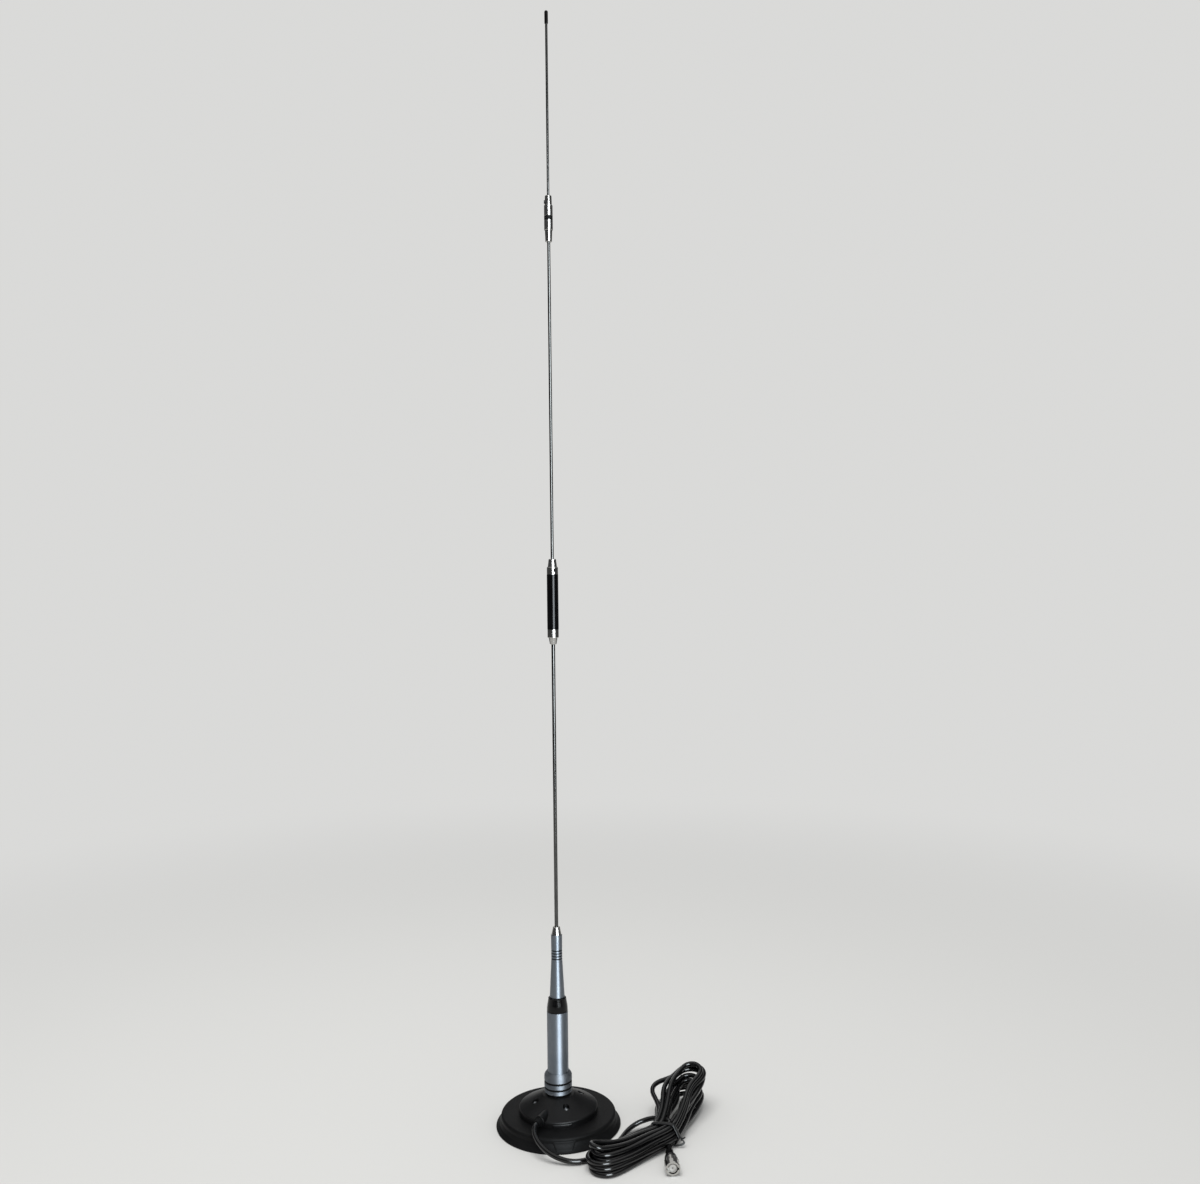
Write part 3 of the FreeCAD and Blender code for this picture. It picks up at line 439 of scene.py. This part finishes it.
def plug_sleeve():
    """A tube turned about the plug's axis, in steps from the body down to the cable."""
    low, high = [Vector(corner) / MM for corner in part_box("bnc_ferrule")]
    axis = (low + high) / 2
    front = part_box("bayonet_ring")[1][1] / MM + SLEEVE_GAP
    body_low, body_high = [Vector(corner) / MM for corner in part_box("bnc_body")]
    body = (body_high.x - body_low.x) / 2
    ferrule = (high.x - low.x) / 2
    cable = CABLE_DIAMETER / MM / 2
    end = high.y + SLEEVE_TAIL
    steps = [(body, front, body_high.y), (ferrule, body_high.y, high.y), (cable, high.y, end)]
    outline = [(cable, end), (cable, front)]
    for radius, start, stop in steps:
        outline += [(radius + SLEEVE_WALL, start + SLEEVE_SLOPE), (radius + SLEEVE_WALL, stop)]
    points = []
    for column in range(SLEEVE_COLUMNS):
        angle = math.tau * column / SLEEVE_COLUMNS
        for radius, along in outline:
            side = axis.x + radius * math.cos(angle)
            height = axis.z + radius * math.sin(angle)
            points.append(Vector((side, along, height)) * MM)
    faces = tube_faces(SLEEVE_COLUMNS, len(outline), True)
    return mesh_piece("plug_sleeve", points, faces, "mount", "cable_jacket")


# Twist tie round the hank

TIE_SHIFT = -2.0
TIE_THICKNESS = 0.8
TIE_STEPS = 96
TIE_LOWEST = 0.1
# Half of the band's section, across its width and out from the bundle, with the ridge of its wire
TIE_SECTION = ((2.7, -0.4), (2.7, 0.1), (0.8, 0.25), (0.4, 0.65))
END_SECTION = ((1.0, -0.35), (1.0, 0.15), (0.5, 0.45))
KNOT_SIDES = (15.5, 17.0, 18.5, 20.0, 21.2)
KNOT_HEIGHTS = (9.6, 9.2, 8.6, 7.8, 6.8)
KNOT_TURNS = 1.5
CURL_TURNS = 0.25
PATH_STEPS = 6
# The free ends in millimetres: a short stub, and a longer end that curls back in front of the bundle
STUB_END = ((122.6, -56.2, 8.0), (124.2, -56.7, 8.4), (125.6, -57.0, 9.0), (126.6, -57.1, 9.8))
CURL_END = ((122.6, -56.2, 7.0), (124.8, -57.0, 6.0), (125.2, -58.2, 4.6), (122.8, -59.0, 3.4),
            (118.8, -58.8, 2.6), (114.8, -57.4, 2.2))


def mirrored(half):
    """A whole section from its right half."""
    return list(half) + [(-across, out) for across, out in reversed(half)]


def band_points(section):
    """The band follows the outside of the bundle's cable passes, a ring of section points at each step."""
    passes = [waist_place(row, column, 1) for row, column in WINDING]
    passes += [waist_place(row, column, -1) for row, column in WINDING[:-1]]
    gap = CABLE_DIAMETER / MM / 2 + TIE_THICKNESS / 2
    points = []
    for step in range(TIE_STEPS):
        angle = math.tau * step / TIE_STEPS
        right, up = math.cos(angle), math.sin(angle)
        side, height = max(passes, key=lambda place: place[0] * right + place[1] * up)
        for across, out in section:
            away = gap + out
            points.append(hank_point(WAIST_HEADING, WAIST_HEADING, TIE_SHIFT + across, side + away * right,
                                     max(height + away * up, TIE_LOWEST)))
    return points


def swept_points(places, section, turns=0.0):
    """A ring of section points at each place of a path, turned about it along the way."""
    points = []
    for index, place in enumerate(places):
        ahead = places[min(index + 1, len(places) - 1)] - places[max(index - 1, 0)]
        side = ahead.cross(UP).normalized()
        out = side.cross(ahead).normalized()
        angle = math.tau * turns * index / (len(places) - 1)
        for across, height in section:
            turned_across = across * math.cos(angle) - height * math.sin(angle)
            turned_height = across * math.sin(angle) + height * math.cos(angle)
            points.append(place + (side * turned_across + out * turned_height) * MM)
    return points


def smooth_path(places, steps):
    """Points along a smooth line through places in metres."""
    line = []
    for index in range(len(places) - 1):
        before = places[max(index - 1, 0)]
        here, following = places[index], places[index + 1]
        after = places[min(index + 2, len(places) - 1)]
        for step in range(steps):
            share = step / steps
            bend = (following - before) * share + (2 * before - 5 * here + 4 * following - after) * share ** 2
            bend += (3 * here - before - 3 * following + after) * share ** 3
            line.append(here + bend / 2)
    return line + [places[-1]]


def twist_tie():
    """The band, its twisted knot and its two free ends."""
    band_section = mirrored(TIE_SECTION)
    points = band_points(band_section)
    faces = tube_faces(TIE_STEPS, len(band_section), True)
    section = mirrored(END_SECTION)
    knot = [hank_point(WAIST_HEADING, WAIST_HEADING, TIE_SHIFT, side, height)
            for side, height in zip(KNOT_SIDES, KNOT_HEIGHTS)]
    stub, curl = [[Vector(place) * MM for place in end] for end in (STUB_END, CURL_END)]
    for places, turns in ((knot, KNOT_TURNS), (stub, 0.0), (curl, CURL_TURNS)):
        line = smooth_path(places, PATH_STEPS)
        first = len(points)
        points += swept_points(line, section, turns)
        strip = tube_faces(len(line), len(section), False)
        faces += [tuple(first + index for index in face) for face in strip]
    tie = mesh_piece("tie", points, faces, "mount", "tie_plastic")
    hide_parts("twist_tie")
    return tie


# Cable with its plug and tie

def cable_cord(pieces):
    """The whole cable as one cord; the pieces passed in are not used."""
    way_out = [outward(OUTLET_ANGLE) * reach + UP * OUTLET_HEIGHT for reach in OUTLET_REACHES]
    points = way_out + [Vector(point) for point in LEAD_ROUTE] + hank_points()
    points += [Vector(point) for point in TAIL_ROUTE]
    curve = bpy.data.curves.new("cable", "CURVE")
    curve.dimensions = "3D"
    spline = curve.splines.new("NURBS")
    spline.points.add(len(points) - 1)
    for control, point in zip(spline.points, points):
        control.co = (*point, 1)
    spline.order_u = 3
    spline.use_endpoint_u = True
    curve.resolution_u = CABLE_STEPS
    curve.bevel_depth = CABLE_DIAMETER / 2
    curve.bevel_resolution = CABLE_ROUNDNESS
    curve.use_fill_caps = True
    curve.materials.append(materials["cable_jacket"])
    cable = bpy.data.objects.new("cable", curve)
    bpy.context.collection.objects.link(cable)
    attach(cable, "mount")
    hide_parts("cable_lead", "cable_hank", "cable_tail")


cable_cord([nodes[name] for name in PLUG_PIECES] + [plug_sleeve(), twist_tie()])


# Bare plates on the boot and on the cover's rim, laid on the solids

PLATE_ROWS = 10
PLATE_COLUMNS = 24
PLATE_RELIEF = 0.5
PLATE_BEVEL = 1.0
PLATE_SUNK = 0.3
CAST_FROM = 0.2
BOOT_PLATE = {"centre": 5.4, "widths": (17.0, 26.0), "heights": (2.2, 10.8)}
COVER_PLATE = {"centre": 3.7, "widths": (19.0, 23.0), "heights": (14.2, 18.6)}


def bare_plate(name, node_name, slot, centre, widths, heights):
    """A low raised plate, seen from the front: its centre, then widths and heights of its bottom and top."""
    node = nodes[node_name]
    points = []
    for row in range(PLATE_ROWS + 1):
        up = row / PLATE_ROWS
        height = between(heights, up)
        half = between(widths, up) / 2
        for column in range(PLATE_COLUMNS + 1):
            across = between((-half, half), column / PLATE_COLUMNS)
            origin = Vector(((centre + across) * MM, -CAST_FROM, height * MM))
            place, normal = node.ray_cast(origin, Vector((0, 1, 0)))[1:3]
            edge = min(half - abs(across), height - heights[0], heights[1] - height)
            rise = between((-PLATE_SUNK, PLATE_RELIEF), min(edge / PLATE_BEVEL, 1.0))
            points.append(place + normal * rise * MM)
    width = PLATE_COLUMNS + 1
    faces = [(row * width + column, row * width + column + 1,
              (row + 1) * width + column + 1, (row + 1) * width + column)
             for row in range(PLATE_ROWS) for column in range(PLATE_COLUMNS)]
    mesh_piece(name, points, faces, "mount", slot)


bpy.context.view_layer.update()
bare_plate("boot_plate", "rubber_boot", "boot_rubber", **BOOT_PLATE)
bare_plate("cover_plate", "cone_cover", "cover_plastic", **COVER_PLATE)


# Threaded socket, seen when the antenna is lifted off

INCH = 25.4
THREADS_PER_INCH = 24
THREAD_PITCH = INCH / THREADS_PER_INCH
THREAD_DEPTH = 0.55
THREAD_ROWS = 10
THREAD_COLUMNS = 72
SOCKET_SHOULDER = 1.9
SOCKET_WALL = 1.9
SOCKET_CHAMFER = 0.5
SHANK_WALL = 1.8
SOCKET_DISC = 2.5


def threaded_socket():
    """The socket's outline turned about the axis, with a thread that fades in above its gasket."""
    low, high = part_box("socket_body")
    radius = high[0] / MM
    top = high[2] / MM
    bottom = low[2] / MM
    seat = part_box("cone_cover")[1][2] / MM
    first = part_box("socket_gasket")[1][2] / MM
    floor_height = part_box("socket_insulator")[1][2] / MM - SOCKET_DISC
    shank = radius - SOCKET_SHOULDER
    inner = shank - SHANK_WALL
    outline = [(inner, bottom), (shank, bottom), (shank, seat), (radius, seat)]
    plain = len(outline)
    rows = int((top - SOCKET_CHAMFER - first) / THREAD_PITCH * THREAD_ROWS)
    outline += [(radius, first + THREAD_PITCH * row / THREAD_ROWS) for row in range(rows + 1)]
    last = len(outline)
    bore = radius - SOCKET_WALL
    outline += [(radius - THREAD_DEPTH, top), (bore, top), (bore, floor_height), (inner, floor_height)]
    points = []
    for column in range(THREAD_COLUMNS):
        turn = column / THREAD_COLUMNS
        way = outward(360 * turn)
        for index, (reach, height) in enumerate(outline):
            if plain <= index < last:
                start_fade = min((height - first) / THREAD_PITCH, 1.0)
                wave = 0.5 - 0.5 * math.cos(math.tau * (height / THREAD_PITCH - turn))
                reach = reach - THREAD_DEPTH * start_fade * wave
            points.append((way * reach + UP * height) * MM)
    faces = tube_faces(THREAD_COLUMNS, len(outline), True)
    socket = mesh_piece("socket", points, faces, "mount", "nickel", False)
    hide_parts("socket_body")


threaded_socket()


# Floor, light and camera

def floor():
    """A pale floor that runs into the plain background."""
    corners = [(x * FLOOR_HALF, y * FLOOR_HALF, 0) for x, y in ((-1, -1), (1, -1), (1, 1), (-1, 1))]
    mesh = bpy.data.meshes.new("floor")
    mesh.from_pydata(corners, [], [(0, 1, 2, 3)])
    plane = bpy.data.objects.new("floor", mesh)
    bpy.context.collection.objects.link(plane)
    material = bpy.data.materials.new("floor")
    material.use_nodes = True
    tree = material.node_tree
    shader = tree.nodes["Principled BSDF"]
    shader.inputs["Base Color"].default_value = (*PALE, 1)
    shader.inputs["Roughness"].default_value = FLOOR_ROUGHNESS
    shader.inputs["Specular IOR Level"].default_value = 0.0
    plain = tree.nodes.new("ShaderNodeEmission")
    plain.inputs["Color"].default_value = (*PALE, 1)
    distance = tree.nodes.new("ShaderNodeVectorMath")
    distance.operation = "LENGTH"
    fade = tree.nodes.new("ShaderNodeMapRange")
    fade.interpolation_type = "SMOOTHSTEP"
    fade.inputs["From Min"].default_value = FLOOR_CLEAR_FROM
    fade.inputs["From Max"].default_value = FLOOR_CLEAR_TO
    mix = tree.nodes.new("ShaderNodeMixShader")
    place = tree.nodes.new("ShaderNodeTexCoord").outputs["Object"]
    tree.links.new(place, distance.inputs[0])
    tree.links.new(distance.outputs["Value"], fade.inputs["Value"])
    tree.links.new(fade.outputs["Result"], mix.inputs["Fac"])
    tree.links.new(shader.outputs["BSDF"], mix.inputs[1])
    tree.links.new(plain.outputs["Emission"], mix.inputs[2])
    tree.links.new(mix.outputs["Shader"], tree.nodes["Material Output"].inputs["Surface"])
    mesh.materials.append(material)


def world():
    """Even soft light, with the plain pale background for what is seen or mirrored."""
    scene_world = bpy.data.worlds.new("studio")
    bpy.context.scene.world = scene_world
    scene_world.use_nodes = True
    tree = scene_world.node_tree
    light = tree.nodes["Background"]
    light.inputs["Color"].default_value = (1, 1, 1, 1)
    light.inputs["Strength"].default_value = AMBIENT_STRENGTH
    seen = tree.nodes.new("ShaderNodeBackground")
    seen.inputs["Color"].default_value = (*PALE, 1)
    path = tree.nodes.new("ShaderNodeLightPath")
    either = tree.nodes.new("ShaderNodeMath")
    either.operation = "MAXIMUM"
    mix = tree.nodes.new("ShaderNodeMixShader")
    tree.links.new(path.outputs["Is Camera Ray"], either.inputs[0])
    tree.links.new(path.outputs["Is Glossy Ray"], either.inputs[1])
    tree.links.new(either.outputs["Value"], mix.inputs["Fac"])
    tree.links.new(light.outputs["Background"], mix.inputs[1])
    tree.links.new(seen.outputs["Background"], mix.inputs[2])
    tree.links.new(mix.outputs["Shader"], tree.nodes["World Output"].inputs["Surface"])


def lamp(name, place, target, width, height, power, colour, mirrors):
    """A soft lamp that either mirrors in the surfaces or lights them evenly."""
    data = bpy.data.lights.new(name, "AREA")
    data.shape = "RECTANGLE"
    data.size = width
    data.size_y = height
    data.energy = power
    data.color = colour
    light = bpy.data.objects.new(name, data)
    light.location = place
    light.rotation_euler = (Vector(target) - Vector(place)).to_track_quat("-Z", "Y").to_euler()
    light.visible_glossy = mirrors
    light.visible_diffuse = not mirrors
    bpy.context.collection.objects.link(light)


def flag(name, start, end):
    """A dark cloth that curves round one side of the set, which only mirrors in the metal."""
    steps = int((end - start) / FLAG_STEP)
    points = []
    for step in range(steps + 1):
        foot = outward(start + (end - start) * step / steps) * FLAG_RADIUS
        points += [foot, foot + UP * FLAG_HEIGHT]
    faces = [(2 * step, 2 * step + 2, 2 * step + 3, 2 * step + 1) for step in range(steps)]
    mesh = bpy.data.meshes.new(name)
    mesh.from_pydata(points, [], faces)
    cloth = bpy.data.objects.new(name, mesh)
    bpy.context.collection.objects.link(cloth)
    mesh.materials.append(materials["ferrite"])
    cloth.visible_camera = False
    cloth.visible_diffuse = False
    cloth.visible_shadow = False


def camera():
    """The photograph's view: level, turned to put the axis left of the middle, and rolled by the lean."""
    data = bpy.data.cameras.new("camera")
    data.sensor_width = SENSOR_MM
    data.lens = SENSOR_MM * FOCAL_PIXELS / PHOTO_WIDTH
    data.shift_y = -LEVEL_OFFSET_PIXELS / PHOTO_WIDTH
    data.clip_end = CAMERA_FAR
    view = bpy.data.objects.new("camera", data)
    view.location = CAMERA_PLACE
    yaw = -math.atan(AXIS_OFFSET_PIXELS / FOCAL_PIXELS)
    level = Euler((math.pi / 2, 0, yaw)).to_matrix()
    roll = Matrix.Rotation(-math.radians(WHIP_LEAN_DEGREES), 3, "Z")
    view.rotation_euler = (level @ roll).to_euler()
    bpy.context.collection.objects.link(view)
    bpy.context.scene.camera = view


floor()
world()
lamp("window", **WINDOW)
lamp("ceiling", **CEILING)
flag("left_flag", *LEFT_FLAG)
flag("right_flag", *RIGHT_FLAG)
camera()
bpy.context.scene.view_settings.view_transform = "Standard"
